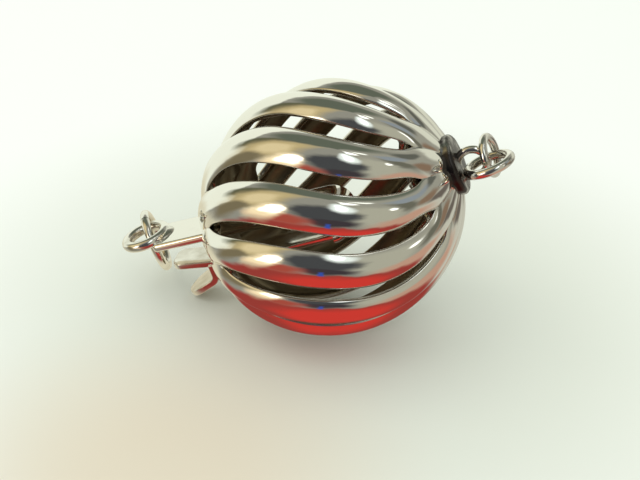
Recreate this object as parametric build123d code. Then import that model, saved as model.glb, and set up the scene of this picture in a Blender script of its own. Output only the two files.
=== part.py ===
from build123d import *
import os
from math import asin, atan2, cos, degrees, hypot, pi, radians, sin

# Openwork ball clasp for a necklace, closed, lying as it rests by itself on a flat surface.
# The ball is modelled in its own axes, with its middle at zero: X runs along its axis from the window to
# the eye, Y points away from the viewer and Z up from the axis. The tongue leans in the window, so it is
# modelled in axes of its own that are turned about Y by that lean, with Z square to its plate.
# At the end everything is turned about Y to its resting tilt and set down on Z = 0. Lengths are in mm.

# Ball
ball_radius = 9.0
ball_half_length = 9.5
rib_count = 12
rib_wall = 0.5
rib_bulge = 0.72
rib_flats = 3
rib_twist = 57.0
section_slack = 0.05

# Collar and soldered eye at the ball's right end
collar_radius = 2.1
collar_thickness = 0.75
eye_radius = 1.0
eye_wire = 0.55
eye_height = -0.3

# Tongue: how far it leans from the ball's axis, its plate and fold, and the clearance round it in the window
tongue_lean = 6.5
plate_width = 3.5
plate_thickness = 0.65
plate_height = 0.7
plate_reach = 4.1
fold_radius = 1.2
fold_place = -0.1
window_clearance = 0.2

# Ring soldered on top of the tongue's outer end
tongue_ring_radius = 1.5
tongue_ring_wire = 0.8
tongue_ring_overlap = 0.97
solder_depth = 0.3

# Spring leaf: strip, catch behind the window's lip, and thumb tab with a half-round tip
leaf_width = 2.4
leaf_thickness = 0.5
leaf_drop = 0.5
catch_step = 0.35
catch_setback = 1.2
catch_clearance = 0.055
lug_reach = 3.55
lug_rise = 0.48
tab_width = 2.8
tab_root = 0.45
tab_knee_out = 0.05
tab_knee_down = 1.3
tab_out = 2.84
tab_down = 1.034
flex_gap = 0.08
slide_clearance = 0.6

# Loose rings
ball_ring_radius = 1.45
ball_ring_wire = 0.64
ball_ring_roll = -5.9
ball_ring_bearing = 29.4
ball_ring_hang = 124.0
ball_link_radius = 1.25
ball_link_wire = 0.56
ball_link_turn = -10.8
ball_link_pass = 0.28
ball_link_shift = 0.15
ball_link_lift = 0.25
tongue_link_radius = 2.18
tongue_link_wire = 0.65
tongue_link_turn = 21.2
tongue_link_pass = 0.3
tongue_link_drop = 1.3
ring_clearance = 0.12

# One row for each section of a rib. Polar angle from the left pole in degrees, turn round the axis as a
# share of the twist, width as a share of the ribs' pitch there, and bulge as a share of the rib's bulge.
RIB_SECTIONS = (
    # polar, turn, width, bulge
    (8, -0.54, 1.16, 0.16),
    (20, -0.52, 1.16, 0.42),
    (34, -0.44, 1.06, 0.74),
    (48, -0.325, 0.76, 0.94),
    (68, -0.185, 0.675, 1.00),
    (90, 0.00, 0.675, 1.00),
    (112, 0.22, 0.68, 1.00),
    (130, 0.36, 0.695, 0.96),
    (144, 0.42, 0.735, 0.82),
    (154, 0.44, 1.05, 0.54),
    (162, 0.45, 1.15, 0.36),
    (170, 0.46, 1.16, 0.20),
)

rib_pitch = 360 / rib_count
half_plate = plate_thickness / 2
half_leaf = leaf_thickness / 2
leaf_height = plate_height - 2 * fold_radius
catch_height = leaf_height - leaf_drop
neck_height = catch_height + catch_step
plate_end = -(ball_half_length + plate_reach)
lug_end = -(ball_half_length + lug_reach)
catch_place = -(ball_half_length - catch_setback)
window_top = plate_height + half_plate + window_clearance
window_bottom = catch_height - half_leaf - catch_clearance
fold_tip = fold_place + fold_radius + half_plate
slide_travel = fold_tip + ball_half_length + slide_clearance


def turn_share(polar):
    """Share of the twist at a polar angle, read between the rows of the rib's table."""
    for low, high in zip(RIB_SECTIONS, RIB_SECTIONS[1:]):
        if polar <= high[0]:
            part = (polar - low[0]) / (high[0] - low[0])
            return low[1] + part * (high[1] - low[1])
    return RIB_SECTIONS[-1][1]


def around_axis(x, reach, angle):
    """Point at an angle round the axis, counted from the top towards the viewer."""
    return Vector(x, -reach * sin(radians(angle)), reach * cos(radians(angle)))


def crest_drop(tilt, phase):
    """How far the lower rib crests lie below the ball's middle when it is tilted."""
    lowest = 0.0
    for side in (-0.5, 0.5):
        for polar in range(20, 160):
            angle = phase + side * rib_pitch + turn_share(polar) * rib_twist
            place = around_axis(
                -ball_half_length * cos(radians(polar)), ball_radius * sin(radians(polar)), angle
            )
            lowest = min(lowest, place.X * sin(tilt) + place.Z * cos(tilt))
    return -lowest


def bottom_phase(tilt):
    """Turn that brings a slot straight below the middle at the place where the ball rests."""
    contact = degrees(atan2(ball_radius * cos(tilt), ball_half_length * sin(tilt)))
    return 180 - turn_share(contact) * rib_twist


tab_start = Vector(-(ball_half_length + tab_root), 0, neck_height)
tab_knee = tab_start + Vector(-tab_knee_out, 0, -tab_knee_down)
tab_tip = tab_knee + Vector(-tab_out, 0, -tab_down)
tab_run = (tab_tip - tab_knee).normalized()
tab_heel = tab_tip - tab_run * (tab_width / 2)
tab_foot = tab_tip + Vector(-tab_run.Z, 0, tab_run.X) * half_leaf


def resting_tilt():
    """Tilt at which the thumb tab and the ribs stand on one level."""
    foot = tab_foot.rotate(Axis.Y, tongue_lean)
    low = radians(5)
    high = radians(60)
    for _ in range(40):
        middle = (low + high) / 2
        tab_drop = -(foot.X * sin(middle) + foot.Z * cos(middle))
        if tab_drop < crest_drop(middle, bottom_phase(middle)):
            low = middle
        else:
            high = middle
    return (low + high) / 2


rest_tilt = resting_tilt()
slot_phase = bottom_phase(rest_tilt)


def rib_section(polar, turn, width_share, bulge_share):
    """Crescent across a rib: an arc outside, flats one wall below it inside, and two short side walls."""
    angle = radians(polar)
    x = -ball_half_length * cos(angle)
    reach = ball_radius * sin(angle)
    turned = slot_phase + rib_pitch / 2 + turn * rib_twist
    outward = around_axis(0, 1, turned)
    across = around_axis(0, 1, turned + 90)
    slope = hypot(ball_radius * cos(angle), ball_half_length * sin(angle))
    lift = Vector(-ball_radius * cos(angle) / slope, 0, 0) + outward * (ball_half_length * sin(angle) / slope)
    half_width = width_share * pi * reach / rib_count
    bulge = min(bulge_share * rib_bulge, half_width * (1 - section_slack))
    outer = (half_width ** 2 + bulge ** 2) / (2 * bulge)
    inner = outer - rib_wall
    centre = Vector(x, 0, 0) + outward * reach - lift * outer
    spread = asin(half_width / outer)

    def spot(radius, bearing):
        return centre + lift * (radius * cos(bearing)) + across * (radius * sin(bearing))

    crest = Edge.make_three_point_arc(spot(outer, -spread), spot(outer, 0), spot(outer, spread))
    inside = [spot(inner, spread * (1 - 2 * step / rib_flats)) for step in range(rib_flats + 1)]
    corners = [spot(outer, spread), *inside, spot(outer, -spread)]
    return Wire([crest, *(Edge.make_line(start, end) for start, end in zip(corners, corners[1:]))])


def ring(centre, normal, radius, wire):
    """Round wire ring about a centre, with its plane square to the normal."""
    return Solid.make_torus(radius, wire / 2, Plane(origin=centre, z_dir=normal))


def strip(points, thickness, width):
    """Flat strip of metal bent along points in the XZ plane, rounded at its bends and ends."""
    pieces = []
    for start, end in zip(points, points[1:]):
        run = end - start
        lean = degrees(atan2(-run.Z, run.X))
        place = Pos((start + end) / 2) * Rot(0, lean, 0)
        pieces.append(place * Box(run.length, width, thickness))
    for point in points[1:]:
        pieces.append(Pos(point) * Rot(90, 0, 0) * Cylinder(thickness / 2, width))
    return pieces[0].fuse(*pieces[1:]).solid()


def make_ball():
    first = Solid.make_loft([rib_section(*row) for row in RIB_SECTIONS])
    ribs = [first.rotate(Axis.X, number * rib_pitch) for number in range(rib_count)]
    window_width = plate_width + 2 * window_clearance
    window_height = window_top - window_bottom
    window_depth = 2 * catch_setback
    window = Rot(0, tongue_lean, 0) * Pos(-ball_half_length, 0, (window_top + window_bottom) / 2) * Box(
        window_depth, window_width, window_height
    )
    collar_start = ball_half_length - rib_wall
    collar_middle = collar_start + collar_thickness / 2
    collar = Pos(collar_middle, 0, 0) * Rot(0, 90, 0) * Cylinder(collar_radius, collar_thickness)
    eye = ring(eye_centre, Vector(0, 1, 0), eye_radius, eye_wire)
    shell = ribs[0].fuse(*ribs[1:]).cut(window)
    return shell.fuse(collar, eye).solid()


def make_tongue_plate():
    plate_middle = (plate_end + fold_place) / 2
    plate_length = fold_place - plate_end
    plate = Pos(plate_middle, 0, plate_height) * Box(plate_length, plate_width, plate_thickness)
    round_outside = Rot(90, 0, 0) * Cylinder(fold_radius + half_plate, plate_width)
    round_inside = Rot(90, 0, 0) * Cylinder(fold_radius - half_plate, 2 * plate_width)
    left_half = Pos(-2 * fold_radius, 0, 0) * Box(4 * fold_radius, 2 * plate_width, 4 * fold_radius)
    bend = round_outside - round_inside - left_half
    fold = Pos(fold_place, 0, plate_height - fold_radius) * bend
    return plate.fuse(fold.solid(), ring(tongue_ring_centre, Vector(0, 0, 1), tongue_ring_radius,
                                         tongue_ring_wire)).solid()


def make_spring_leaf():
    root = Vector(fold_place - flex_gap, 0, leaf_height)
    catch = Vector(catch_place, 0, catch_height)
    neck = Vector(catch_place - catch_step, 0, neck_height)
    bend = Vector(-ball_half_length, 0, neck_height)
    lug = Vector(lug_end, 0, neck_height + lug_rise)
    leaf = strip([root, catch, neck, bend, lug], leaf_thickness, leaf_width)
    tab = strip([tab_start, tab_knee], leaf_thickness, tab_width)
    lean = degrees(atan2(-tab_run.Z, tab_run.X))
    blade_length = (tab_heel - tab_knee).length
    blade = Pos((tab_knee + tab_heel) / 2) * Rot(0, lean, 0) * Box(blade_length, tab_width, leaf_thickness)
    round_tip = Pos(tab_heel) * Rot(0, lean, 0) * Cylinder(tab_width / 2, leaf_thickness)
    return leaf.fuse(tab, blade, round_tip).solid()


collar_outside = ball_half_length - rib_wall + collar_thickness
eye_centre = Vector(collar_outside + eye_radius - eye_wire / 2, 0, eye_height)
tongue_ring_outside = tongue_ring_radius + tongue_ring_wire / 2
tongue_ring_centre = Vector(
    plate_end + tongue_ring_overlap - tongue_ring_outside,
    0,
    plate_height + half_plate + tongue_ring_wire / 2 - solder_depth,
)

# The ball's ring runs through the eye and lies out towards the viewer.
roll = radians(ball_ring_roll)
ball_ring_normal = Vector(0, -sin(roll), cos(roll))
ball_ring_side = Vector(0, -cos(roll), -sin(roll))
bearing = radians(ball_ring_bearing)
hang = radians(ball_ring_hang)
eye_play = eye_radius - (eye_wire + ball_ring_wire) / 2 - ring_clearance
ball_ring_pass = eye_centre + Vector(eye_play * cos(hang), 0, -eye_play * sin(hang))
ball_ring_out = Vector(cos(bearing), 0, 0) + ball_ring_side * sin(bearing)
ball_ring_centre = ball_ring_pass + ball_ring_out * ball_ring_radius

# The ball's link stands in the ring and goes round its far side.
link_turn = radians(ball_link_turn)
ball_link_normal = Vector(cos(link_turn), sin(link_turn), 0)
ball_link_away = ball_ring_side * (ball_link_pass - ball_link_radius)
ball_link_centre = ball_ring_centre + ball_link_away + Vector(ball_link_shift, 0, ball_link_lift)

# The tongue's link goes down through the tongue's ring and round that ring's far side.
hang_turn = radians(tongue_link_turn)
tongue_link_normal = Vector(cos(hang_turn), sin(hang_turn), 0)
tongue_link_away = Vector(-sin(hang_turn), cos(hang_turn), 0)
tongue_link_reach = (tongue_link_radius ** 2 - tongue_link_drop ** 2) ** 0.5
tongue_link_place = Vector(tongue_link_pass, 0, -tongue_link_drop) + tongue_link_away * tongue_link_reach
tongue_link_centre = tongue_ring_centre + tongue_link_place

ball_pieces = {
    "ball": make_ball(),
    "ball_ring": ring(ball_ring_centre, ball_ring_normal, ball_ring_radius, ball_ring_wire),
    "ball_link": ring(ball_link_centre, ball_link_normal, ball_link_radius, ball_link_wire),
}
tongue_pieces = {
    "tongue_plate": make_tongue_plate(),
    "spring_leaf": make_spring_leaf(),
    "tongue_link": ring(tongue_link_centre, tongue_link_normal, tongue_link_radius, tongue_link_wire),
}

# Set down: turned to the resting tilt, with the origin at the bottom centre of the whole.
ball_turn = -degrees(rest_tilt)
tongue_turn = tongue_lean - degrees(rest_tilt)
tilted = {}
for name, piece in ball_pieces.items():
    tilted[name] = piece.rotate(Axis.Y, ball_turn)
for name, piece in tongue_pieces.items():
    tilted[name] = piece.rotate(Axis.Y, tongue_turn)
boxes = [piece.bounding_box() for piece in tilted.values()]
left = min(box.min.X for box in boxes)
right = max(box.max.X for box in boxes)
near = min(box.min.Y for box in boxes)
far = max(box.max.Y for box in boxes)
lowest = min(box.min.Z for box in boxes)
set_down = Vector(-(left + right) / 2, -(near + far) / 2, -lowest)

os.makedirs("parts", exist_ok=True)
for name, piece in tilted.items():
    export_step(piece.translate(set_down), "parts/" + name + ".step")

fold_centre = Vector(fold_place, 0, plate_height - fold_radius)
places = {
    "ball middle": (Vector(0, 0, 0), ball_turn),
    "ball link centre": (ball_link_centre, ball_turn),
    "fold centre": (fold_centre, tongue_turn),
    "tongue link centre": (tongue_link_centre, tongue_turn),
}
print("turn of the ball", round(ball_turn, 4), "turn of the tongue", round(tongue_turn, 4))
print("slide travel", round(slide_travel, 4))
for name, (place, turn) in places.items():
    set_place = place.rotate(Axis.Y, turn) + set_down
    print(name, [round(value, 4) for value in (set_place.X, set_place.Y, set_place.Z)])
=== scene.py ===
import math

import bmesh
import bpy
from mathutils import Matrix, Vector


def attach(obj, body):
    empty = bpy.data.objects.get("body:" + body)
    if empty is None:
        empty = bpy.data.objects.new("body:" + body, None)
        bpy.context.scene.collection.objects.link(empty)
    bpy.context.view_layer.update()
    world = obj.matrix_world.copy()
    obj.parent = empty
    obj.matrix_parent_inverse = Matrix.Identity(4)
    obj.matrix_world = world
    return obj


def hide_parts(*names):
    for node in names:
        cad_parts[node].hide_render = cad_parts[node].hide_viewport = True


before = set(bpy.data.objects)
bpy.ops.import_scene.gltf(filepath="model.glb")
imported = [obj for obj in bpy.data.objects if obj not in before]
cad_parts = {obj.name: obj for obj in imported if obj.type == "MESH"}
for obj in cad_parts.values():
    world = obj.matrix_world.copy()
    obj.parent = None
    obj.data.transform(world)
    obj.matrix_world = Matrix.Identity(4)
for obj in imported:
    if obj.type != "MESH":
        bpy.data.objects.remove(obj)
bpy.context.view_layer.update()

bl_info = {
    "name": "Openwork ball clasp",
    "version": (1, 0, 0),
    "blender": (4, 5, 0),
    "location": "View3D > Sidebar > Ball Clasp",
    "description": "Builds a polished silver ball clasp with a folded tongue and its jump rings",
    "category": "Object",
}

MM = 0.001

# Where the clasp lies, in the frame's own axes. The ball and the tongue are each made in axes of their
# own, with the ball's middle at zero, and turned about Y from there.
BALL_MIDDLE = Vector((1.8474, 0.0, 8.9521)) * MM
BALL_TURN = math.radians(-28.7412)
TONGUE_TURN = math.radians(-22.2412)

# The window in the ball's left end, in the tongue's axes, and where its cutter starts and stops
WINDOW_TOP = 1.225 * MM
WINDOW_BOTTOM = -2.505 * MM
WINDOW_CLEARANCE = 0.2 * MM
WINDOW_CUT_START = -10.9 * MM
WINDOW_CUT_STOP = -8.3 * MM

# The tongue's plate in the tongue's axes, with its fold and the ring on its outer end
PLATE_HEIGHT = 0.7 * MM
PLATE_END = -13.6 * MM
PLATE_CORNER = 0.4 * MM
PLATE_EDGE = 0.26 * MM
FOLD_PLACE = -0.1 * MM
FOLD_STEPS = 28
TONGUE_RING_PLACE = Vector((-14.53, 0.0, 1.125)) * MM

# The solder under that ring: how far in from the plate's end it lies, its length, width and height, and how
# uneven its rim is and how deep it is sunk, as shares of its width and height
SOLDER_INSET = 0.62 * MM
SOLDER_SIZE = (1.5 * MM, 2.2 * MM, 0.3 * MM)
SOLDER_UNEVEN = 0.06
SOLDER_SUNK = 0.3

# The spring leaf and the thumb tab in the tongue's axes: the corners of their routes in mm, and their bends
LEAF_ROUTE = ((-0.18, -1.7), (-8.3, -2.2), (-8.65, -1.85), (-9.5, -1.85), (-13.05, -1.37))
LEAF_BEND = 0.45 * MM
LEAF_CORNER = 0.7 * MM
LEAF_EDGE = 0.1 * MM
TAB_ROUTE = ((-9.95, -1.85), (-10.0, -3.15), (-12.84, -4.184))
TAB_BEND = 0.7 * MM

# How close the places lie along the flat strips, how far a bend turns from one to the next in degrees, the
# share of a straight run that a bend may take, and how narrow a rounded end gets
STRIP_SPACING = 0.5 * MM
TAB_SPACING = 0.4 * MM
BEND_STEP = 7
CORNER_PLACES = 8
BEND_SHARE = 0.45
NARROWEST = 0.02 * MM

# The loose jump rings: their middles, the first in the ball's axes and the others in the frame, their turns,
# and the cut through their wire
EYE_RING_PLACE = Vector((11.579, -0.708, -0.459)) * MM
EYE_RING_TIP = math.radians(-5.9)
END_RING_PLACE = Vector((12.2817, 0.2568, 14.3177)) * MM
END_RING_TURN = math.radians(-10.8)
TONGUE_LINK_PLACE = Vector((-11.8434, 1.6315, 3.1644)) * MM
TONGUE_LINK_TURN = math.radians(21.2)
SAWN_GAP = 0.05 * MM

# The collar: its foot inside the ball, its waist, the flare between them, its rounded rim and its lumps, and
# how far the eye sits from its middle
COLLAR_FOOT = 0.5 * MM
COLLAR_WAIST_START = 0.3 * MM
COLLAR_WAIST_LENGTH = 0.4 * MM
COLLAR_WAIST_DEPTH = 0.04 * MM
COLLAR_FLARE = 0.25 * MM
COLLAR_ROUNDING = 0.3 * MM
COLLAR_UNEVEN = 0.018
COLLAR_STEPS = 96
WAIST_STEPS = 6
RIM_STEPS = 8
EYE_SHIFT = -0.3 * MM

# How finely a rib is cut: along its length, over its outside and inside, and round each softened corner
RIB_ROWS = 108
OUTSIDE_STEPS = 22
INSIDE_STEPS = 12
CORNER_STEPS = 4

# Limits for a rib's crescent: its bulge as a share of its half width, the slot under which its inside draws
# together with its neighbour's, and the share of a slot that its soft corners may take
LARGEST_BULGE = 0.95
CLOSING_SLOT = 0.3 * MM
CORNER_SHARE = 0.8

# How far round a rib's arc a bearing is looked for, and in how many halvings
LARGEST_BEARING = math.radians(89)
HALVINGS = 36

# How far a rib darkens and dulls, from the edge of its outside to its inside: partly tarnish in the hollows,
# partly painted shade
RIM_TARNISH_AND_SHADE = 0.25
CORNER_TARNISH_AND_SHADE = 0.3
CUT_TARNISH_AND_SHADE = 0.55
INNER_CORNER_TARNISH_AND_SHADE = 0.85
INSIDE_TARNISH_AND_SHADE = 1.0

# How dark and dull the strips, the solder's top, its rim besides, the insides of the rings and the collar
# lie, as tarnish, with painted shade besides in the rings' insides, and the painted shade on the lower faces
# of the leaf and the tab
STRIP_HOLLOW = 0.15
SOLDER_HOLLOW = 0.2
SOLDER_RIM_HOLLOW = 0.25
RING_TARNISH_AND_SHADE = 0.3
COLLAR_HOLLOW = 0.1
LEAF_PAINTED_SHADE = 1.0
TAB_PAINTED_SHADE = 0.75

# Places closer than the first of these become one, and edges shorter than the second go
MERGE_DISTANCE = 0.0008 * MM
SHORTEST_EDGE = 0.0004 * MM

# Edges that turn by more than this, in degrees, stay sharp on the round pieces and on the flat ones
ROUND_SHARP = 50
FLAT_SHARP = 40

# One row for each section of a rib. Polar angle from the window's pole in degrees, turn round the axis as
# a share of the twist, width as a share of the ribs' pitch there, and bulge as a share of the rib's bulge.
RIB_SECTIONS = (
    (8, -0.54, 1.16, 0.16),
    (20, -0.52, 1.16, 0.42),
    (34, -0.44, 1.06, 0.74),
    (48, -0.325, 0.76, 0.94),
    (68, -0.185, 0.675, 1.00),
    (90, 0.00, 0.675, 1.00),
    (112, 0.22, 0.68, 1.00),
    (130, 0.36, 0.695, 0.96),
    (144, 0.42, 0.735, 0.82),
    (154, 0.44, 1.05, 0.54),
    (162, 0.45, 1.15, 0.36),
    (170, 0.46, 1.16, 0.20),
)

# What the polished metal mirrors of the room, as soft patches laid one over another. Azimuth from the front
# towards the right and elevation of the patch's middle, its half width and half height and the softness of
# its rim as a share, all seen from the ball in degrees, then its linear colour.
ROOM_PATCHES = (
    # azimuth, elevation, half width, half height, rim, colour
    (100, 25, 75, 75, 0.5, (0.330, 0.330, 0.275)),
    (-150, 66, 72, 26, 0.5, (0.120, 0.140, 0.105)),
    (-140, -2, 54, 34, 0.10, (0.900, 0.940, 0.800)),
    (-125, -42, 50, 26, 0.45, (0.720, 0.680, 0.500)),
    (-101, 30, 13, 22, 0.7, (0.120, 0.120, 0.070)),
    (-74, 34, 25, 42, 0.8, (0.540, 0.440, 0.225)),
    (-72, 30, 15, 20, 0.9, (0.760, 0.640, 0.370)),
    (-74, -9, 11, 17, 0.8, (0.200, 0.170, 0.100)),
    (125, -18, 55, 24, 0.5, (0.560, 0.560, 0.470)),
    (45, 20, 22, 42, 0.6, (0.430, 0.430, 0.345)),
    (96, 12, 14, 12, 0.8, (0.240, 0.165, 0.110)),
    (76, 32, 9, 26, 0.9, (0.150, 0.150, 0.115)),
    (128, 44, 22, 9, 0.8, (0.120, 0.125, 0.105)),
    (95, 52, 16, 12, 0.9, (0.270, 0.310, 0.340)),
    (150, 15, 26, 14, 0.6, (0.700, 0.720, 0.600)),
    (112, -4, 20, 6, 0.9, (0.150, 0.130, 0.110)),
    (66, -20, 30, 14, 0.8, (0.540, 0.330, 0.240)),
    (8, -43, 86, 25, 0.25, (0.330, 0.050, 0.040)),
    (14, -40, 42, 17, 0.7, (0.640, 0.048, 0.036)),
    (-2, 24, 32, 32, 0.5, (0.062, 0.066, 0.070)),
    (6, -8, 20, 10, 0.7, (0.050, 0.042, 0.048)),
    (-32, -12, 22, 11, 0.8, (0.400, 0.080, 0.055)),
    (17, 55, 15, 21, 0.6, (0.900, 1.000, 0.960)),
    (16, 56, 7, 12, 0.9, (1.900, 2.100, 2.100)),
    (46, 78, 18, 7, 0.6, (1.600, 1.650, 1.550)),
    (95, 77, 12, 5, 0.6, (1.300, 1.350, 1.250)),
    (62, 34, 3.5, 5, 0.9, (1.700, 1.750, 1.650)),
    (-47, 3, 13, 25, 0.8, (1.050, 0.880, 0.560)),
    (-44, 9, 8.5, 14, 0.8, (3.200, 3.000, 2.600)),
    (1, -16, 2.2, 4.5, 1.2, (0.040, 0.090, 0.420)),
)
ROOM_COLOUR = (0.300, 0.300, 0.255, 1.0)
ROOM_SWAY_SCALE = 3.5
ROOM_SWAY = 0.22

# The finishes of the silver: how patchy each is, how fine its patches are, the colour that they darken
# towards, and how strong its scratches are
FINISHES = {
    "polished_silver": (0.35, 420.0, "tarnish_and_shade_colour", 0.04),
    "worn_silver": (0.75, 700.0, "tarnish_and_shade_colour", 0.10),
    "blackened_silver": (1.90, 950.0, "blackened", 0.45),
}
# Where the mix of tarnish and painted shade starts to darken the silver
TARNISH_AND_SHADE_START = 0.38
WAVE_SCALE = 520.0
WAVE_DEPTH = 0.012 * MM
SCRATCH_SCALE = 2600.0
SCRATCH_STRETCH = (0.15, 1.0, 1.0)
SCRATCH_DEPTH = 0.02 * MM

# The floor: half its width, how matt it is, the middles of its paler far tone and its warm painted shade in
# front, with the distances at which each starts and is full, and its specks. Round the clasp it keeps a
# darker tone: painted shade
FLOOR_HALF = 1.5
FLOOR_ROUGHNESS = 0.75
FLOOR_SHEEN = 0.1
FLOOR_SHADE_FADE = ((0.003, 0.002, 0.0), 0.016, 0.040)
FLOOR_WARM_SHADE = ((-0.005, -0.019, 0.0), 0.019, 0.003)
SPECK_SCALE = 60.0
SPECK_SHARE = 0.06

# The soft window light
WINDOW_LIGHT_PLACE = Vector((-0.22, -0.06, 0.34))
WINDOW_LIGHT_SIZE = (0.30, 0.22)
WINDOW_LIGHT_COLOUR = (1.0, 0.985, 0.94)

# The camera: where it stands, how it is turned, and its lens for a sensor of the width given
CAMERA_PLACE = Vector((8.613, -54.2187, 40.4149)) * MM
CAMERA_ELEVATION = math.radians(32.063)
CAMERA_AZIMUTH = math.radians(7.791)
CAMERA_ROLL = math.radians(-3.195)
CAMERA_LENS = 49.96
CAMERA_SENSOR = 36.0


def length_value(name, description, default):
    """Property for a length, kept in metres and shown in the scene's own unit."""
    return bpy.props.FloatProperty(
        name=name, description=description, default=default * MM, min=0.0,
        precision=5, unit="LENGTH", subtype="DISTANCE",
    )


def colour_value(name, description, default):
    """Property for a linear colour."""
    return bpy.props.FloatVectorProperty(
        name=name, description=description, default=default, min=0.0, max=1.0, size=3, subtype="COLOR",
    )


def share_value(name, description, default):
    """Property for a share between nothing and all."""
    return bpy.props.FloatProperty(
        name=name, description=description, default=default, min=0.0, max=1.0, subtype="FACTOR",
    )


class BallSizes(bpy.types.PropertyGroup):
    """Sizes of the hollow ball and its collar"""

    radius: length_value("Radius", "Across the ribs' crests, half way along", 9.0)
    half_length: length_value("Half length", "From the middle to either pole", 9.5)
    ribs: bpy.props.IntProperty(name="Ribs", description="Ribs round the ball", default=12, min=3, max=40)
    wall: length_value("Wall", "Thickness of the ribs' metal", 0.5)
    bulge: length_value("Bulge", "How far a rib's crest stands over its edges", 0.72)
    twist: bpy.props.FloatProperty(
        name="Twist", description="Turn of a rib from end to end", default=math.radians(57.0),
        unit="ROTATION",
    )
    edge: length_value("Edge", "Rounding of the ribs' cut edges", 0.14)
    collar_radius: length_value("Collar radius", "Half the collar's width", 2.1)
    collar_thickness: length_value("Collar thickness", "The collar's length along the axis", 0.75)
    eye_radius: length_value("Eye radius", "Middle of the eye's wire", 1.0)
    eye_wire: length_value("Eye wire", "Thickness of the eye's wire", 0.55)


class TongueSizes(bpy.types.PropertyGroup):
    """Sizes of the folded tongue and its thumb tab"""

    plate_width: length_value("Plate width", "Across the plate", 3.5)
    plate_thickness: length_value("Plate thickness", "The plate's metal", 0.65)
    fold_radius: length_value("Fold radius", "Middle of the fold's metal", 1.2)
    leaf_width: length_value("Leaf width", "Across the spring leaf", 2.4)
    leaf_thickness: length_value("Leaf thickness", "The leaf's metal", 0.5)
    tab_width: length_value("Tab width", "Across the thumb tab", 2.8)
    ring_radius: length_value("Ring radius", "Middle of the soldered ring's wire", 1.5)
    ring_wire: length_value("Ring wire", "Thickness of the soldered ring", 0.8)


class SilverFinish(bpy.types.PropertyGroup):
    """Colours and polish of the metal"""

    silver: colour_value("Silver", "Polished metal", (0.905, 0.885, 0.840))
    # The colour that tarnish and the painted shade darken the silver towards
    tarnish_and_shade_colour: colour_value("Tarnish", "Dulled metal in the hollows", (0.300, 0.240, 0.150))
    blackened: colour_value("Blackened", "Old, blackened metal of the collar", (0.060, 0.052, 0.050))
    polish: share_value("Roughness", "Roughness of the polished crests", 0.05)
    dulled: share_value("Dulled roughness", "Roughness inside and in the hollows", 0.32)


class StageLook(bpy.types.PropertyGroup):
    """Colours and strengths of the floor and the light round the clasp"""

    # The tone round the clasp and the warm one in front are painted shade; the further tone is the floor
    # unshaded
    floor: colour_value("Floor", "Pale floor round the clasp", (0.775, 0.810, 0.735))
    floor_far: colour_value("Floor, further off", "Paler tone away from the clasp", (0.930, 0.955, 0.925))
    floor_warm_shade: colour_value("Floor, warm", "Warmer tone in front of the clasp", (0.760, 0.690, 0.560))
    sky: colour_value("Room", "Pale light from all round", (0.930, 0.955, 0.905))
    room_light: bpy.props.FloatProperty(
        name="Room light", description="Strength of the light from all round", default=1.04, min=0.0,
    )
    key: bpy.props.FloatProperty(
        name="Window light", description="Power of the light from the upper left in watts", default=0.22,
        min=0.0, unit="POWER",
    )


def ball_point(x, y, z):
    """Point in the ball's own axes, in metres, brought into the frame."""
    return BALL_MIDDLE + Matrix.Rotation(BALL_TURN, 3, "Y") @ Vector((x, y, z))


def tongue_point(x, y, z):
    """Point in the tongue's own axes, in metres, brought into the frame."""
    return BALL_MIDDLE + Matrix.Rotation(TONGUE_TURN, 3, "Y") @ Vector((x, y, z))


def ease_row(polar):
    """Turn, width and bulge of a rib at a polar angle, on a smooth curve through the table."""
    rows = RIB_SECTIONS
    if polar <= rows[0][0]:
        return rows[0][1:]
    if polar >= rows[-1][0]:
        return rows[-1][1:]
    at = next(i for i in range(len(rows) - 1) if polar <= rows[i + 1][0])
    low, high = rows[at], rows[at + 1]
    span = high[0] - low[0]
    part = (polar - low[0]) / span
    low_share = 2 * part ** 3 - 3 * part ** 2 + 1
    low_pull = (part ** 3 - 2 * part ** 2 + part) * span
    high_share = -2 * part ** 3 + 3 * part ** 2
    high_pull = (part ** 3 - part ** 2) * span
    values = []
    for column in (1, 2, 3):
        slopes = []
        for here in (at, at + 1):
            before, after = rows[max(0, here - 1)], rows[min(len(rows) - 1, here + 1)]
            slopes.append((after[column] - before[column]) / (after[0] - before[0]))
        values.append(
            low_share * low[column] + low_pull * slopes[0]
            + high_share * high[column] + high_pull * slopes[1]
        )
    return values


def table_turn(polar):
    """Share of the twist at a polar angle, read in straight lines between the rows."""
    for low, high in zip(RIB_SECTIONS, RIB_SECTIONS[1:]):
        if polar <= high[0]:
            return low[1] + (polar - low[0]) / (high[0] - low[0]) * (high[1] - low[1])
    return RIB_SECTIONS[-1][1]


def slot_phase(ball):
    """Turn round the axis that brings a slot straight below the middle where the ball rests."""
    tilt = -BALL_TURN
    contact = math.degrees(math.atan2(ball.radius * math.cos(tilt), ball.half_length * math.sin(tilt)))
    return math.pi - table_turn(contact) * ball.twist


def piece_object(name, mesh, body, nodes, material):
    """Mesh made into a named piece that rides on a body and stands for CAD nodes."""
    piece = bpy.data.objects.new(name, mesh)
    bpy.context.scene.collection.objects.link(piece)
    mesh.materials.append(material)
    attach(piece, body)
    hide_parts(*nodes)
    return piece


def smooth(mesh, degrees):
    """Smooth shading, with the edges that turn more than the angle kept sharp."""
    for face in mesh.polygons:
        face.use_smooth = True
    mesh.set_sharp_from_angle(angle=math.radians(degrees))


def finished_mesh(name, bm, degrees):
    """A mesh from the making, with its faces turned outwards and shaded smooth."""
    bmesh.ops.recalc_face_normals(bm, faces=bm.faces)
    mesh = bpy.data.meshes.new(name)
    bm.to_mesh(mesh)
    bm.free()
    smooth(mesh, degrees)
    return mesh


def tarnish_and_shade_layer(bm):
    """Where a mesh in the making keeps, in its hollow attribute, each place's share of tarnish and painted
    shade.
    """
    return bm.verts.layers.float.get("hollow") or bm.verts.layers.float.new("hollow")


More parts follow.
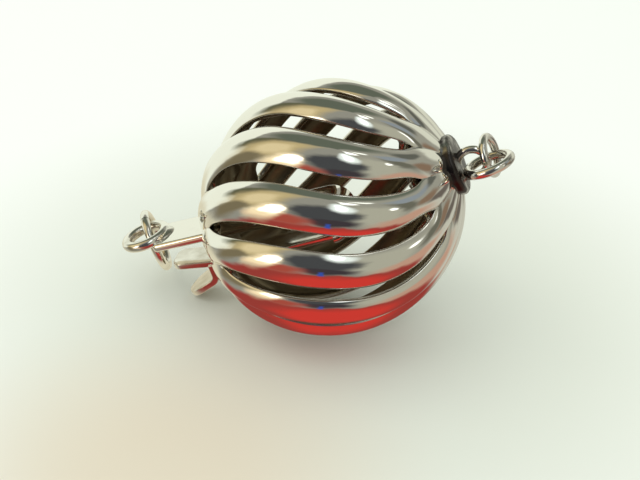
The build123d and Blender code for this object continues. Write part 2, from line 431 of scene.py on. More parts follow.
class RibShape:
    """One cut across a rib at a polar angle: the crescent of its two arcs, and how wide its slot is there."""

    def __init__(self, ball, polar, phase):
        turn, width_share, bulge_share = ease_row(polar)
        angle = math.radians(polar)
        self.half_pitch = math.pi / ball.ribs
        self.reach = ball.radius * math.sin(angle)
        turned = phase + self.half_pitch + turn * ball.twist
        self.outward = Vector((0, -math.sin(turned), math.cos(turned)))
        self.across = Vector((0, -math.cos(turned), -math.sin(turned)))
        slope = math.hypot(ball.radius * math.cos(angle), ball.half_length * math.sin(angle))
        self.rise = ball.half_length * math.sin(angle) / slope
        self.lift = Vector((-ball.radius * math.cos(angle) / slope, 0, 0)) + self.outward * self.rise
        half_width = width_share * math.pi * self.reach / ball.ribs
        bulge = min(bulge_share * ball.bulge, half_width * LARGEST_BULGE)
        self.outer = (half_width ** 2 + bulge ** 2) / (2 * bulge)
        self.inner = self.outer - ball.wall
        start = Vector((-ball.half_length * math.cos(angle), 0, 0))
        self.centre = start + self.outward * self.reach - self.lift * self.outer
        spread = math.asin(half_width / self.outer)
        free = self.half_pitch - self.angle_at(self.outer, spread)
        self.gap = free * self.reach
        if free <= 0:
            self.outer_end = self.bearing_of(self.outer, self.half_pitch)
            self.inner_end = self.bearing_of(self.inner, self.half_pitch)
        else:
            closing = 1 - min(1.0, self.gap / CLOSING_SLOT)
            own = self.angle_at(self.inner, spread)
            wanted = own + (self.half_pitch - own) * closing * closing * (3 - 2 * closing)
            self.outer_end = spread
            self.inner_end = self.bearing_of(self.inner, wanted)

    def angle_at(self, radius, bearing):
        """Turn round the ball's axis, from the rib's crest, of a place on one of the arcs."""
        out = self.reach + self.rise * (radius * math.cos(bearing) - self.outer)
        return math.atan2(radius * math.sin(bearing), out)

    def bearing_of(self, radius, angle):
        """Bearing on an arc at which it has a given turn round the ball's axis."""
        low, high = 0.0, LARGEST_BEARING
        for _ in range(HALVINGS):
            middle = (low + high) / 2
            if self.angle_at(radius, middle) < angle:
                low = middle
            else:
                high = middle
        return low

    def spot(self, radius, bearing):
        """Place on or between the arcs, in the ball's own axes."""
        risen = self.centre + self.lift * (radius * math.cos(bearing))
        return risen + self.across * (radius * math.sin(bearing))


def rib_outline(shape, edge):
    """Places round a rib's crescent with its cut edges rounded: radius, bearing and its share of tarnish and
    painted shade.
    """
    soft = min(edge, CORNER_SHARE * max(shape.gap, 0.0))
    outer_cut = shape.outer_end - soft / shape.outer
    inner_cut = shape.inner_end - soft / shape.inner
    places = []
    for i in range(OUTSIDE_STEPS + 1):
        share = 2 * i / OUTSIDE_STEPS - 1
        places.append((shape.outer, outer_cut * share, RIM_TARNISH_AND_SHADE * abs(share) ** 4))
    side = []
    for i in range(1, CORNER_STEPS + 1):
        part = math.pi / 2 * i / CORNER_STEPS
        bearing = outer_cut + (shape.outer_end - outer_cut) * math.sin(part)
        side.append((shape.outer - soft * (1 - math.cos(part)), bearing, CORNER_TARNISH_AND_SHADE))
    side.append(((shape.outer + shape.inner) / 2, (shape.outer_end + shape.inner_end) / 2, CUT_TARNISH_AND_SHADE))
    for i in range(CORNER_STEPS):
        part = math.pi / 2 * i / CORNER_STEPS
        bearing = inner_cut + (shape.inner_end - inner_cut) * math.cos(part)
        side.append((shape.inner + soft * (1 - math.sin(part)), bearing, INNER_CORNER_TARNISH_AND_SHADE))
    places.extend(side)
    for i in range(INSIDE_STEPS + 1):
        places.append((shape.inner, inner_cut * (1 - 2 * i / INSIDE_STEPS), INSIDE_TARNISH_AND_SHADE))
    places.extend((radius, -bearing, tarnish_and_shade_share) for radius, bearing, tarnish_and_shade_share in reversed(side))
    return places, len(side)


class CLASP_OT_ball(bpy.types.Operator):
    """Hollow ball of twisted ribs with slots between them and the tongue's window"""

    bl_idname = "clasp.ball"
    bl_label = "Ribbed ball"

    def execute(self, context):
        ball = context.scene.clasp_ball
        bm = bmesh.new()
        hollow = tarnish_and_shade_layer(bm)
        phase = slot_phase(ball)
        first, last = RIB_SECTIONS[0][0], RIB_SECTIONS[-1][0]
        polars = [first + (last - first) * i / RIB_ROWS for i in range(RIB_ROWS + 1)]
        shapes = [RibShape(ball, polar, phase) for polar in polars]
        outlines = [rib_outline(shape, ball.edge) for shape in shapes]
        side_count = outlines[0][1]
        for rib in range(ball.ribs):
            spin = Matrix.Rotation(2 * math.pi * rib / ball.ribs, 3, "X")
            rings = []
            for shape, (places, _) in zip(shapes, outlines):
                ring = []
                # Each place keeps its share of tarnish and painted shade in the hollow attribute
                for radius, bearing, tarnish_and_shade_share in places:
                    vert = bm.verts.new(ball_point(*(spin @ shape.spot(radius, bearing))))
                    vert[hollow] = tarnish_and_shade_share
                    ring.append(vert)
                rings.append(ring)
            count = len(rings[0])
            first_side = OUTSIDE_STEPS
            inside = first_side + side_count + 1
            second_side = inside + INSIDE_STEPS
            for row in range(RIB_ROWS):
                closed = shapes[row].gap <= 0 and shapes[row + 1].gap <= 0
                for i in range(count):
                    if closed and (first_side <= i < inside or i >= second_side):
                        continue
                    j = (i + 1) % count
                    bm.faces.new((rings[row][i], rings[row][j], rings[row + 1][j], rings[row + 1][i]))
            bm.faces.new(rings[0])
            bm.faces.new(rings[-1][::-1])
        bmesh.ops.remove_doubles(bm, verts=bm.verts, dist=MERGE_DISTANCE)
        bmesh.ops.dissolve_degenerate(bm, edges=bm.edges, dist=SHORTEST_EDGE)
        bmesh.ops.recalc_face_normals(bm, faces=bm.faces)
        mesh = bpy.data.meshes.new("ball_ribs")
        bm.to_mesh(mesh)
        bm.free()
        mesh = cut_window(context, mesh)
        smooth(mesh, ROUND_SHARP)
        piece_object("ball_ribs", mesh, "ball", ["ball"], silver_finish(context))
        return {"FINISHED"}


def cut_window(context, mesh):
    """The ribs' mesh with the tongue's window cut through it."""
    half = context.scene.clasp_tongue.plate_width / 2 + WINDOW_CLEARANCE
    bm = bmesh.new()
    corners = []
    for x in (WINDOW_CUT_START, WINDOW_CUT_STOP):
        for y in (-half, half):
            for z in (WINDOW_BOTTOM, WINDOW_TOP):
                corners.append(bm.verts.new(tongue_point(x, y, z)))
    for loop in ((0, 1, 3, 2), (4, 6, 7, 5), (0, 4, 5, 1), (2, 3, 7, 6), (0, 2, 6, 4), (1, 5, 7, 3)):
        bm.faces.new([corners[i] for i in loop])
    bmesh.ops.recalc_face_normals(bm, faces=bm.faces)
    cutter_mesh = bpy.data.meshes.new("window_cutter")
    bm.to_mesh(cutter_mesh)
    bm.free()
    cutter = bpy.data.objects.new("window_cutter", cutter_mesh)
    shell = bpy.data.objects.new("window_shell", mesh)
    for thing in (cutter, shell):
        context.scene.collection.objects.link(thing)
    cut = shell.modifiers.new("window", "BOOLEAN")
    cut.operation = "DIFFERENCE"
    cut.solver = "EXACT"
    cut.object = cutter
    depsgraph = context.evaluated_depsgraph_get()
    made = bpy.data.meshes.new_from_object(shell.evaluated_get(depsgraph))
    for thing in (cutter, shell):
        bpy.data.objects.remove(thing)
    made.name = "ball_ribs"
    return made


def ring_mesh(name, centre, normal, radius, wire, steps=96, sides=20, sawn=0.0, seam_at=0.0):
    """Round wire bent to a ring. A sawn ring has a hair-thin cut through its wire."""
    bm = bmesh.new()
    hollow = tarnish_and_shade_layer(bm)
    normal = normal.normalized()
    first = normal.orthogonal().normalized()
    second = normal.cross(first)
    open_angle = sawn / radius
    count = steps + 1 if sawn else steps
    loops = []
    for i in range(count):
        turn = seam_at + open_angle / 2 + (2 * math.pi - open_angle) * i / steps
        out = first * math.cos(turn) + second * math.sin(turn)
        loop = []
        for j in range(sides):
            around = 2 * math.pi * j / sides
            spot = centre + out * (radius + wire / 2 * math.cos(around))
            vert = bm.verts.new(spot + normal * (wire / 2 * math.sin(around)))
            # The wire's side towards the ring's middle is darker: tarnish and painted shade
            vert[hollow] = RING_TARNISH_AND_SHADE * max(0.0, -math.cos(around))
            loop.append(vert)
        loops.append(loop)
    pairs = list(zip(loops, loops[1:]))
    if not sawn:
        pairs.append((loops[-1], loops[0]))
    for low, high in pairs:
        for j in range(sides):
            k = (j + 1) % sides
            bm.faces.new((low[j], low[k], high[k], high[j]))
    if sawn:
        bm.faces.new(loops[0])
        bm.faces.new(loops[-1][::-1])
    return finished_mesh(name, bm, ROUND_SHARP)


def bent_route(points, bend):
    """Places and directions along a centre line in the XZ plane, with each corner turned through an arc."""
    corners = [Vector((x, 0, z)) * MM for x, z in points]
    places = [(corners[0], (corners[1] - corners[0]).normalized())]
    for before, here, after in zip(corners, corners[1:], corners[2:]):
        come, leave = here - before, after - here
        turn = come.angle(leave)
        if turn < math.radians(1):
            places.append((here, come.normalized()))
            continue
        reach = min(bend * math.tan(turn / 2), BEND_SHARE * come.length, BEND_SHARE * leave.length)
        axis = come.cross(leave).normalized()
        start = here - come.normalized() * reach
        centre = start + axis.cross(come.normalized()) * reach / math.tan(turn / 2)
        steps = max(4, int(math.degrees(turn) / BEND_STEP))
        for k in range(steps + 1):
            spin = Matrix.Rotation(turn * k / steps, 3, axis)
            places.append((centre + spin @ (start - centre), spin @ come.normalized()))
    places.append((corners[-1], (corners[-1] - corners[-2]).normalized()))
    return places


def along(places, spacing):
    """The same route with more places in its long runs."""
    finer = [places[0]]
    for (low, run_low), (high, run_high) in zip(places, places[1:]):
        steps = max(1, math.ceil((high - low).length / spacing))
        for k in range(1, steps + 1):
            part = k / steps
            finer.append((low.lerp(high, part), run_low.lerp(run_high, part).normalized()))
    return finer


def end_widths(places, width, corner_first, corner_last):
    """Half width at each place, drawn in round the corners of either end."""
    travelled = [0.0]
    for (low, _), (high, _) in zip(places, places[1:]):
        travelled.append(travelled[-1] + (high - low).length)
    halves = []
    for distance in travelled:
        half = width / 2
        for corner, gone in ((corner_first, distance), (corner_last, travelled[-1] - distance)):
            if gone < corner:
                half -= corner - math.sqrt(max(0.0, corner ** 2 - (corner - gone) ** 2))
        halves.append(half)
    return halves


def rounded_ends(places, corner_first, corner_last):
    """The route with places set close together where its end corners are rounded."""
    dense = []
    last = len(places) - 1
    shares = [1 - math.cos(math.pi / 2 * k / CORNER_PLACES) for k in range(CORNER_PLACES)]
    for i, (spot, run) in enumerate(places):
        if i == 0 and corner_first:
            dense.extend((spot + run * corner_first * share, run) for share in shares)
            dense.append((spot + run * corner_first, run))
        elif i == last and corner_last:
            dense.append((spot - run * corner_last, run))
            dense.extend((spot - run * corner_last * share, run) for share in reversed(shares))
        else:
            dense.append((spot, run))
    return dense


def strip_mesh(bm, places, halves, thickness, edge, tarnish_and_shade_share=STRIP_HOLLOW):
    """Flat strip with softened edges along a route. Where it runs to the left, its lower face can be darkened
    with painted shade.
    """
    hollow = tarnish_and_shade_layer(bm)
    flat = thickness / 2 - edge
    loops = []
    for (spot, run), half in zip(places, halves):
        up = Vector((-run.z, 0, run.x))
        inner = max(half - edge, NARROWEST)
        outline = []
        for side, rise, start in ((1, 1, 0), (-1, 1, 90), (-1, -1, 180), (1, -1, 270)):
            for k in range(5):
                angle = math.radians(start + 22.5 * k)
                across = side * inner + edge * math.cos(angle)
                outline.append((across, rise * flat + edge * math.sin(angle)))
            if start in (0, 180):
                outline.extend((side * inner * share, rise * (flat + edge)) for share in (0.5, 0.0, -0.5))
        loop = []
        for across, rise in outline:
            vert = bm.verts.new(tongue_point(*(spot + up * rise + Vector((0, across, 0)))))
            # Where the strip runs to the left this is its lower face, darkened with painted shade
            painted_shade_face = rise > flat and abs(across) < inner + 0.5 * edge
            vert[hollow] = tarnish_and_shade_share if painted_shade_face else STRIP_HOLLOW
            loop.append(vert)
        loops.append(loop)
    count = len(loops[0])
    for low, high in zip(loops, loops[1:]):
        for i in range(count):
            j = (i + 1) % count
            bm.faces.new((low[i], low[j], high[j], high[i]))
    bm.faces.new(loops[0])
    bm.faces.new(loops[-1][::-1])


def solder_mound(bm, centre, length, width, height):
    """Low rounded run of solder lying on a flat face, its rim sunk just under the face."""
    hollow = tarnish_and_shade_layer(bm)
    rings, steps = 8, 32
    top = bm.verts.new(tongue_point(*(centre + Vector((0, 0, height)))))
    top[hollow] = SOLDER_HOLLOW
    loops = []
    for r in range(1, rings + 1):
        share = r / rings
        rise = height * math.cos(math.pi / 2 * share) ** 0.8 if r < rings else -SOLDER_SUNK * height
        loop = []
        for i in range(steps):
            turn = 2 * math.pi * i / steps
            reach = share * (1 + SOLDER_UNEVEN * math.sin(3 * turn + 0.7))
            place = Vector((length / 2 * reach * math.cos(turn), width / 2 * reach * math.sin(turn), rise))
            vert = bm.verts.new(tongue_point(*(centre + place)))
            vert[hollow] = SOLDER_HOLLOW + SOLDER_RIM_HOLLOW * share
            loop.append(vert)
        loops.append(loop)
    for i in range(steps):
        bm.faces.new((top, loops[0][i], loops[0][(i + 1) % steps]))
    for low, high in zip(loops, loops[1:]):
        for i in range(steps):
            j = (i + 1) % steps
            bm.faces.new((low[i], high[i], high[j], low[j]))
    bm.faces.new(loops[-1])


class CLASP_OT_tongue(bpy.types.Operator):
    """Flat tongue with its fold inside the ball and the ring soldered on its outer end"""

    bl_idname = "clasp.tongue"
    bl_label = "Tongue and soldered ring"

    def execute(self, context):
        size = context.scene.clasp_tongue
        silver = silver_finish(context)
        right = Vector((1, 0, 0))
        places = [(Vector((x, 0, PLATE_HEIGHT)), right) for x in (PLATE_END, FOLD_PLACE)]
        places = along(rounded_ends(places, PLATE_CORNER, 0.0), STRIP_SPACING)
        centre = Vector((FOLD_PLACE, 0, PLATE_HEIGHT - size.fold_radius))
        for k in range(1, FOLD_STEPS + 1):
            turn = math.pi * k / FOLD_STEPS
            spot = centre + Vector((math.sin(turn), 0, math.cos(turn))) * size.fold_radius
            places.append((spot, Vector((math.cos(turn), 0, -math.sin(turn)))))
        halves = end_widths(places, size.plate_width, PLATE_CORNER, 0.0)
        bm = bmesh.new()
        strip_mesh(bm, places, halves, size.plate_thickness, PLATE_EDGE)
        top = PLATE_HEIGHT + size.plate_thickness / 2
        solder_mound(bm, Vector((PLATE_END + SOLDER_INSET, 0, top)), *SOLDER_SIZE)
        mesh = finished_mesh("tongue_plate_strip", bm, FLAT_SHARP)
        piece_object("tongue_plate_strip", mesh, "tongue", ["tongue_plate"], silver)
        turn = Matrix.Rotation(TONGUE_TURN, 3, "Y")
        mesh = ring_mesh(
            "tongue_soldered_ring", tongue_point(*TONGUE_RING_PLACE), turn @ Vector((0, 0, 1)),
            size.ring_radius, size.ring_wire, sides=28,
        )
        worn = silver_finish(context, "worn_silver")
        piece_object("tongue_soldered_ring", mesh, "tongue", ["tongue_plate"], worn)
        return {"FINISHED"}


class CLASP_OT_leaf(bpy.types.Operator):
    """Spring leaf with its catch, and the round-tipped thumb tab that hangs from it outside the ball"""

    bl_idname = "clasp.leaf"
    bl_label = "Spring leaf and tab"

    def execute(self, context):
        size = context.scene.clasp_tongue
        tip = size.tab_width / 2
        bm = bmesh.new()
        # Each strip with its share of painted shade on its lower face
        for route, bend, width, corner, spacing, tarnish_and_shade_share in (
            (LEAF_ROUTE, LEAF_BEND, size.leaf_width, LEAF_CORNER, STRIP_SPACING, LEAF_PAINTED_SHADE),
            (TAB_ROUTE, TAB_BEND, size.tab_width, tip, TAB_SPACING, TAB_PAINTED_SHADE),
        ):
            places = along(rounded_ends(bent_route(route, bend), 0.0, corner), spacing)
            halves = end_widths(places, width, 0.0, corner)
            strip_mesh(bm, places, halves, size.leaf_thickness, LEAF_EDGE, tarnish_and_shade_share)
        mesh = finished_mesh("spring_leaf_strip", bm, FLAT_SHARP)
        worn = silver_finish(context, "worn_silver")
        piece_object("spring_leaf_strip", mesh, "leaf", ["spring_leaf"], worn)
        return {"FINISHED"}


def wire_up(tree, kind, inputs, operation=None, output=0):
    """A new node with its inputs linked or set, and the output that it is read from."""
    node = tree.nodes.new(kind)
    if operation:
        node.operation = operation
    for place, value in inputs.items():
        if isinstance(value, bpy.types.NodeSocket):
            tree.links.new(value, node.inputs[place])
        else:
            node.inputs[place].default_value = value
    return node.outputs[output]


def mixed(tree, share, before, after):
    """Colour between two others, each a fixed colour or another node's."""
    mix = tree.nodes.new("ShaderNodeMix")
    mix.data_type = "RGBA"
    tree.links.new(share, mix.inputs["Factor"])
    places = [socket for socket in mix.inputs if socket.name in ("A", "B") and socket.type == "RGBA"]
    for place, colour in zip(places, (before, after)):
        if isinstance(colour, bpy.types.NodeSocket):
            tree.links.new(colour, place)
        else:
            place.default_value = colour
    return next(socket for socket in mix.outputs if socket.type == "RGBA")


def soft_share(tree, value, start, full):
    """Share that grows softly from nothing at one value to all at another."""
    share = tree.nodes.new("ShaderNodeMapRange")
    share.interpolation_type = "SMOOTHSTEP"
    share.inputs["From Min"].default_value = start
    share.inputs["From Max"].default_value = full
    tree.links.new(value, share.inputs["Value"])
    return share.outputs["Result"]


def mirrored_apart(tree, plain, mirrored, output):
    """Gives one shader to the rays that come off polished metal, and another to all the others."""
    polished = tree.nodes.new("ShaderNodeLightPath").outputs["Is Glossy Ray"]
    mix = wire_up(tree, "ShaderNodeMixShader", {0: polished, 1: plain, 2: mirrored})
    tree.links.new(mix, output.inputs["Surface"])


def silver_finish(context, name="polished_silver"):
    """One of the silver's finishes: bright crests with fine scratches, duller and darker in the hollows by
    tarnish and by painted shade, as the hollow attribute gives.
    """
    found = bpy.data.materials.get(name)
    if found:
        return found
    finish = context.scene.clasp_finish
    patchy, patch_scale, dark, grain = FINISHES[name]
    material = bpy.data.materials.new(name)
    material.use_nodes = True
    tree = material.node_tree
    shader = tree.nodes["Principled BSDF"]
    shader.inputs["Metallic"].default_value = 1.0
    place = tree.nodes.new("ShaderNodeTexCoord").outputs["Object"]
    hollow = tree.nodes.new("ShaderNodeAttribute")
    hollow.attribute_name = "hollow"
    cloud = wire_up(tree, "ShaderNodeTexNoise", {"Vector": place, "Scale": patch_scale, "Detail": 4.0})
    # Random tarnish patches plus the hollow attribute, which holds tarnish and painted shade, darken the
    # silver and dull it
    tarnish_and_shade_mask = wire_up(tree, "ShaderNodeMath", {0: cloud, 1: patchy, 2: hollow.outputs["Fac"]}, "MULTIPLY_ADD")
    ramp = tree.nodes.new("ShaderNodeValToRGB")
    ramp.color_ramp.elements[0].position = TARNISH_AND_SHADE_START
    ramp.color_ramp.elements[0].color = (*finish.silver, 1)
    ramp.color_ramp.elements[1].color = (*getattr(finish, dark), 1)
    tree.links.new(tarnish_and_shade_mask, ramp.inputs["Fac"])
    tree.links.new(ramp.outputs["Color"], shader.inputs["Base Color"])
    rough = wire_up(tree, "ShaderNodeMapRange", {
        "Value": tarnish_and_shade_mask, "From Min": 0.2, "From Max": 1.2, "To Min": finish.polish, "To Max": finish.dulled,
    })
    tree.links.new(rough, shader.inputs["Roughness"])
    wave = wire_up(tree, "ShaderNodeTexNoise", {"Vector": place, "Scale": WAVE_SCALE, "Detail": 2.0})
    wave = wire_up(tree, "ShaderNodeBump", {"Height": wave, "Strength": 1.0, "Distance": WAVE_DEPTH})
    along_x = wire_up(tree, "ShaderNodeMapping", {"Vector": place, "Scale": SCRATCH_STRETCH})
    scratch = wire_up(tree, "ShaderNodeTexNoise", {"Vector": along_x, "Scale": SCRATCH_SCALE, "Detail": 3.0})
    scratch = wire_up(tree, "ShaderNodeBump", {
        "Height": scratch, "Normal": wave, "Strength": grain, "Distance": SCRATCH_DEPTH,
    })
    tree.links.new(scratch, shader.inputs["Normal"])
    return material


class CLASP_OT_collar(bpy.types.Operator):
    """Round collar at the ball's end and the eye soldered upright on it"""

    bl_idname = "clasp.collar"
    bl_label = "Collar and eye"

    def execute(self, context):
        ball = context.scene.clasp_ball
        start = ball.half_length - ball.wall
        end = start + ball.collar_thickness
        wide, soft = ball.collar_radius, COLLAR_ROUNDING
        profile = [(start - COLLAR_FOOT, 0.0), (start - COLLAR_FOOT, wide + COLLAR_FLARE)]
        for i in range(WAIST_STEPS + 1):
            part = math.pi / 2 * i / WAIST_STEPS
            x = start - COLLAR_WAIST_START + COLLAR_WAIST_LENGTH * math.sin(part)
            flare = COLLAR_FLARE * (1 - math.sin(part))
            profile.append((x, wide - COLLAR_WAIST_DEPTH + flare))
        for i in range(RIM_STEPS + 1):
            part = math.pi / 2 * i / RIM_STEPS
            profile.append((end - soft + soft * math.sin(part), wide - soft + soft * math.cos(part)))
        profile.extend((end, wide * share) for share in (0.6, 0.3, 0.0))
        bm = bmesh.new()
        hollow = tarnish_and_shade_layer(bm)
        loops = []
        for x, radius in profile:
            if radius <= 0:
                vert = bm.verts.new(ball_point(x, 0, 0))
                loops.append([vert] * COLLAR_STEPS)
                continue
            loop = []
            for i in range(COLLAR_STEPS):
                turn = 2 * math.pi * i / COLLAR_STEPS
                lump = 0.5 * math.sin(5 * turn + 0.6) + 0.3 * math.sin(9 * turn + 2.0)
                lump += 0.2 * math.sin(14 * turn)
                reach = radius * (1 + COLLAR_UNEVEN * lump)
                loop.append(bm.verts.new(ball_point(x, reach * math.cos(turn), reach * math.sin(turn))))
            loops.append(loop)
        for low, high in zip(loops, loops[1:]):
            for i in range(COLLAR_STEPS):
                j = (i + 1) % COLLAR_STEPS
                corners = []
                for vert in (low[i], low[j], high[j], high[i]):
                    if vert not in corners:
                        corners.append(vert)
                if len(corners) > 2:
                    bm.faces.new(corners)
        for vert in bm.verts:
            vert[hollow] = COLLAR_HOLLOW
        blackened = silver_finish(context, "blackened_silver")
        mesh = finished_mesh("ball_collar", bm, FLAT_SHARP)
        piece_object("ball_collar", mesh, "ball", ["ball"], blackened)
        middle = ball_point(end + ball.eye_radius - ball.eye_wire / 2, 0, EYE_SHIFT)
        axis = Matrix.Rotation(BALL_TURN, 3, "Y") @ Vector((0, 1, 0))
        mesh = ring_mesh("ball_eye", middle, axis, ball.eye_radius, ball.eye_wire)
        piece_object("ball_eye", mesh, "ball", ["ball"], silver_finish(context, "worn_silver"))
        return {"FINISHED"}


class CLASP_OT_rings(bpy.types.Operator):
    """Loose jump rings at both ends, each sawn and closed"""

    bl_idname = "clasp.rings"
    bl_label = "Jump rings"

    def execute(self, context):
        silver = silver_finish(context, "worn_silver")
        ball_turn = Matrix.Rotation(BALL_TURN, 3, "Y")
        tongue_turn = Matrix.Rotation(TONGUE_TURN, 3, "Y")
        flat = Vector((0, -math.sin(EYE_RING_TIP), math.cos(EYE_RING_TIP)))
        end_way = Vector((math.cos(END_RING_TURN), math.sin(END_RING_TURN), 0))
        tongue_way = Vector((math.cos(TONGUE_LINK_TURN), math.sin(TONGUE_LINK_TURN), 0))
        # name, body, CAD node, middle, the ring's own axis, its radius and wire in mm, where it is sawn
        for name, body, node, middle, axis, radius, wire, seam in (
            ("ball_jump_ring", "ball", "ball_ring", ball_point(*EYE_RING_PLACE),
             ball_turn @ flat, 1.45, 0.64, 2.2),
            ("ball_jump_link", "ball", "ball_link", END_RING_PLACE,
             ball_turn @ end_way, 1.25, 0.56, 4.0),
            ("tongue_jump_ring", "tongue", "tongue_link", TONGUE_LINK_PLACE,
             tongue_turn @ tongue_way, 2.18, 0.65, 1.0),
        ):
            mesh = ring_mesh(name, middle, axis, radius * MM, wire * MM, sawn=SAWN_GAP, seam_at=seam)
            piece_object(name, mesh, body, [node], silver)
        return {"FINISHED"}


def mirrored_room():
    """Group that gives the colour that the metal mirrors from a direction, out of the room's patches."""
    tree = bpy.data.node_groups.new("mirrored_room", "ShaderNodeTree")
    tree.interface.new_socket("Direction", in_out="INPUT", socket_type="NodeSocketVector")
    tree.interface.new_socket("Colour", in_out="OUTPUT", socket_type="NodeSocketColor")
    given = tree.nodes.new("NodeGroupInput").outputs[0]
    result = tree.nodes.new("NodeGroupOutput")
    split = tree.nodes.new("ShaderNodeSeparateXYZ")
    tree.links.new(given, split.inputs[0])
    x, y, z = split.outputs
    front = wire_up(tree, "ShaderNodeMath", {0: y, 1: -1.0}, "MULTIPLY")
    azimuth = wire_up(tree, "ShaderNodeMath", {0: x, 1: front}, "ARCTAN2")
    elevation = wire_up(tree, "ShaderNodeMath", {0: z}, "ARCSINE")
    noise = {"Vector": given, "Scale": ROOM_SWAY_SCALE, "Detail": 3.0}
    sway = wire_up(tree, "ShaderNodeTexNoise", noise, output=1)
    sway = wire_up(tree, "ShaderNodeVectorMath", {0: sway, 1: (0.5, 0.5, 0.5)}, "SUBTRACT")
    sway = wire_up(tree, "ShaderNodeVectorMath", {0: sway, "Scale": ROOM_SWAY}, "SCALE")
    colour = ROOM_COLOUR
    for patch_azimuth, patch_elevation, half_width, half_height, rim, patch_colour in ROOM_PATCHES:
        side = wire_up(tree, "ShaderNodeMath", {0: azimuth, 1: math.radians(patch_azimuth)}, "SUBTRACT")
        side = wire_up(tree, "ShaderNodeMath", {0: side, 1: math.pi, 2: -math.pi}, "WRAP")
        rise = wire_up(tree, "ShaderNodeMath", {0: elevation, 1: math.radians(patch_elevation)}, "SUBTRACT")
        place = wire_up(tree, "ShaderNodeCombineXYZ", {0: side, 1: rise})
        place = wire_up(tree, "ShaderNodeVectorMath", {0: place, 1: sway}, "ADD")
        shares = (1 / math.radians(half_width), 1 / math.radians(half_height), 0.0)
        place = wire_up(tree, "ShaderNodeVectorMath", {0: place, 1: shares}, "MULTIPLY")
        reach = wire_up(tree, "ShaderNodeVectorMath", {0: place}, "LENGTH", output=1)
        inside = soft_share(tree, reach, 1 + rim / 2, 1 - rim / 2)
        colour = mixed(tree, inside, colour, (*patch_colour, 1.0))
    tree.links.new(colour, result.inputs[0])
    return tree


def room_colour(tree, direction):
    """The mirrored room's colour in another node tree, for a direction there."""
    group = tree.nodes.new("ShaderNodeGroup")
    group.node_tree = bpy.data.node_groups.get("mirrored_room") or mirrored_room()
    tree.links.new(direction, group.inputs[0])
    return group.outputs[0]


def studio_room(look):
    """World of plain pale light, with the room's patches where the metal mirrors it."""
    world = bpy.data.worlds.new("studio_room")
    world.use_nodes = True
    tree = world.node_tree
    pale = tree.nodes["Background"]
    pale.inputs["Color"].default_value = (*look.sky, 1)
    pale.inputs["Strength"].default_value = look.room_light
    direction = tree.nodes.new("ShaderNodeTexCoord").outputs["Generated"]
    seen = tree.nodes.new("ShaderNodeBackground")
    tree.links.new(room_colour(tree, direction), seen.inputs["Color"])
    mirrored_apart(tree, pale.outputs[0], seen.outputs[0], tree.nodes["World Output"])
    return world


def floor_finish(look):
    """Pale matt floor with painted shade round the clasp, warm in front, which to rays off the polished metal
    glows with the room's colours as a painted reflection of the room below it.
    """
    material = bpy.data.materials.new("pale_floor")
    material.use_nodes = True
    tree = material.node_tree
    matt = tree.nodes["Principled BSDF"]
    matt.inputs["Roughness"].default_value = FLOOR_ROUGHNESS
    matt.inputs["Specular IOR Level"].default_value = FLOOR_SHEEN
    place = tree.nodes.new("ShaderNodeNewGeometry").outputs["Position"]
    # Darker round the clasp and warm in front: painted shade, fading into the paler far tone
    tone = (*look.floor, 1)
    for (centre, start, full), colour in ((FLOOR_SHADE_FADE, look.floor_far), (FLOOR_WARM_SHADE, look.floor_warm_shade)):
        reach = wire_up(tree, "ShaderNodeVectorMath", {0: place, 1: centre}, "DISTANCE", output=1)
        tone = mixed(tree, soft_share(tree, reach, start, full), tone, (*colour, 1))
    speck = wire_up(tree, "ShaderNodeTexNoise", {"Vector": place, "Scale": SPECK_SCALE, "Detail": 2.0})
    speck = wire_up(tree, "ShaderNodeMath", {0: speck, 1: SPECK_SHARE}, "MULTIPLY")
    tree.links.new(mixed(tree, speck, tone, (*look.floor_far, 1)), matt.inputs["Base Color"])
    # To rays off the polished metal the floor glows with the room's colours: a painted reflection
    away = wire_up(tree, "ShaderNodeVectorMath", {0: place, 1: tuple(BALL_MIDDLE)}, "SUBTRACT")
    away = wire_up(tree, "ShaderNodeVectorMath", {0: away}, "NORMALIZE")
    painted_reflection_glow = tree.nodes.new("ShaderNodeEmission")
    tree.links.new(room_colour(tree, away), painted_reflection_glow.inputs["Color"])
    mirrored_apart(tree, matt.outputs[0], painted_reflection_glow.outputs[0], tree.nodes["Material Output"])
    return material


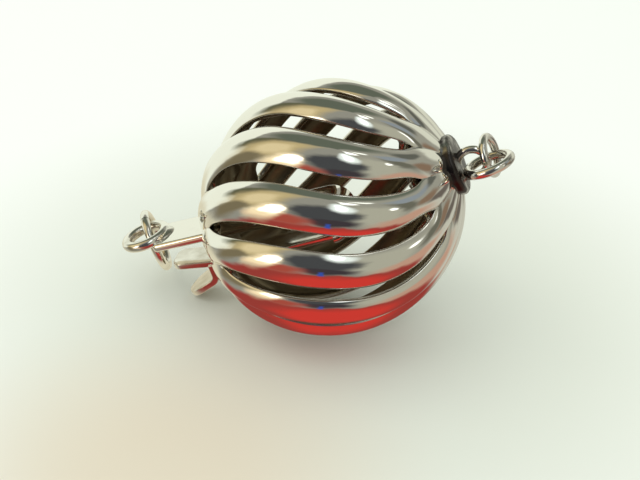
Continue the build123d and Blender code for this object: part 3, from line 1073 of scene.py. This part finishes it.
class CLASP_OT_stage(bpy.types.Operator):
    """Pale floor, soft light and the camera"""

    bl_idname = "clasp.stage"
    bl_label = "Floor, light and camera"

    def execute(self, context):
        look = context.scene.clasp_stage
        bm = bmesh.new()
        sides = ((-1, -1), (1, -1), (1, 1), (-1, 1))
        bm.faces.new([bm.verts.new((x * FLOOR_HALF, y * FLOOR_HALF, 0)) for x, y in sides])
        mesh = bpy.data.meshes.new("floor")
        bm.to_mesh(mesh)
        bm.free()
        floor = bpy.data.objects.new("floor", mesh)
        context.scene.collection.objects.link(floor)
        mesh.materials.append(floor_finish(look))
        context.scene.world = studio_room(look)
        context.scene.view_settings.view_transform = "Standard"
        lamp = bpy.data.lights.new("window_light", "AREA")
        lamp.shape = "RECTANGLE"
        lamp.size, lamp.size_y = WINDOW_LIGHT_SIZE
        lamp.energy = look.key
        lamp.color = WINDOW_LIGHT_COLOUR
        high = bpy.data.objects.new("window_light", lamp)
        high.location = WINDOW_LIGHT_PLACE
        high.rotation_euler = (BALL_MIDDLE - high.location).to_track_quat("-Z", "Y").to_euler()
        high.visible_glossy = False
        context.scene.collection.objects.link(high)
        camera = bpy.data.cameras.new("camera")
        camera.sensor_width = CAMERA_SENSOR
        camera.lens = CAMERA_LENS
        camera.clip_start = 0.001
        seen = bpy.data.objects.new("camera", camera)
        context.scene.collection.objects.link(seen)
        place_camera(seen)
        context.scene.camera = seen
        return {"FINISHED"}


def place_camera(seen):
    """The camera stands where the photograph was taken from."""
    spin = Matrix.Rotation(CAMERA_AZIMUTH, 4, "Z") @ Matrix.Rotation(math.pi / 2 - CAMERA_ELEVATION, 4, "X")
    spin = spin @ Matrix.Rotation(-CAMERA_ROLL, 4, "Z")
    seen.matrix_world = Matrix.Translation(CAMERA_PLACE) @ spin


class CLASP_PT_panel(bpy.types.Panel):
    """The clasp's pieces, in the order in which they are made"""

    bl_idname = "CLASP_PT_panel"
    bl_label = "Ball Clasp"
    bl_space_type = "VIEW_3D"
    bl_region_type = "UI"
    bl_category = "Ball Clasp"

    def draw(self, context):
        for operator in OPERATORS:
            self.layout.operator(operator.bl_idname)


OPERATORS = (
    CLASP_OT_stage, CLASP_OT_ball, CLASP_OT_collar, CLASP_OT_tongue, CLASP_OT_leaf, CLASP_OT_rings,
)
GROUPS = (
    ("clasp_ball", BallSizes),
    ("clasp_tongue", TongueSizes),
    ("clasp_finish", SilverFinish),
    ("clasp_stage", StageLook),
)


def register():
    """Registers the classes and hangs the groups of values on the scene."""
    for name, group in GROUPS:
        bpy.utils.register_class(group)
        setattr(bpy.types.Scene, name, bpy.props.PointerProperty(type=group))
    for operator in OPERATORS:
        bpy.utils.register_class(operator)
    bpy.utils.register_class(CLASP_PT_panel)


def unregister():
    """Takes the classes and the groups of values away again."""
    bpy.utils.unregister_class(CLASP_PT_panel)
    for operator in reversed(OPERATORS):
        bpy.utils.unregister_class(operator)
    for name, group in reversed(GROUPS):
        delattr(bpy.types.Scene, name)
        bpy.utils.unregister_class(group)


def main():
    """Makes the whole clasp."""
    register()
    bpy.ops.clasp.stage()
    bpy.ops.clasp.ball()
    bpy.ops.clasp.collar()
    bpy.ops.clasp.tongue()
    bpy.ops.clasp.leaf()
    bpy.ops.clasp.rings()


if __name__ == "__main__":
    main()
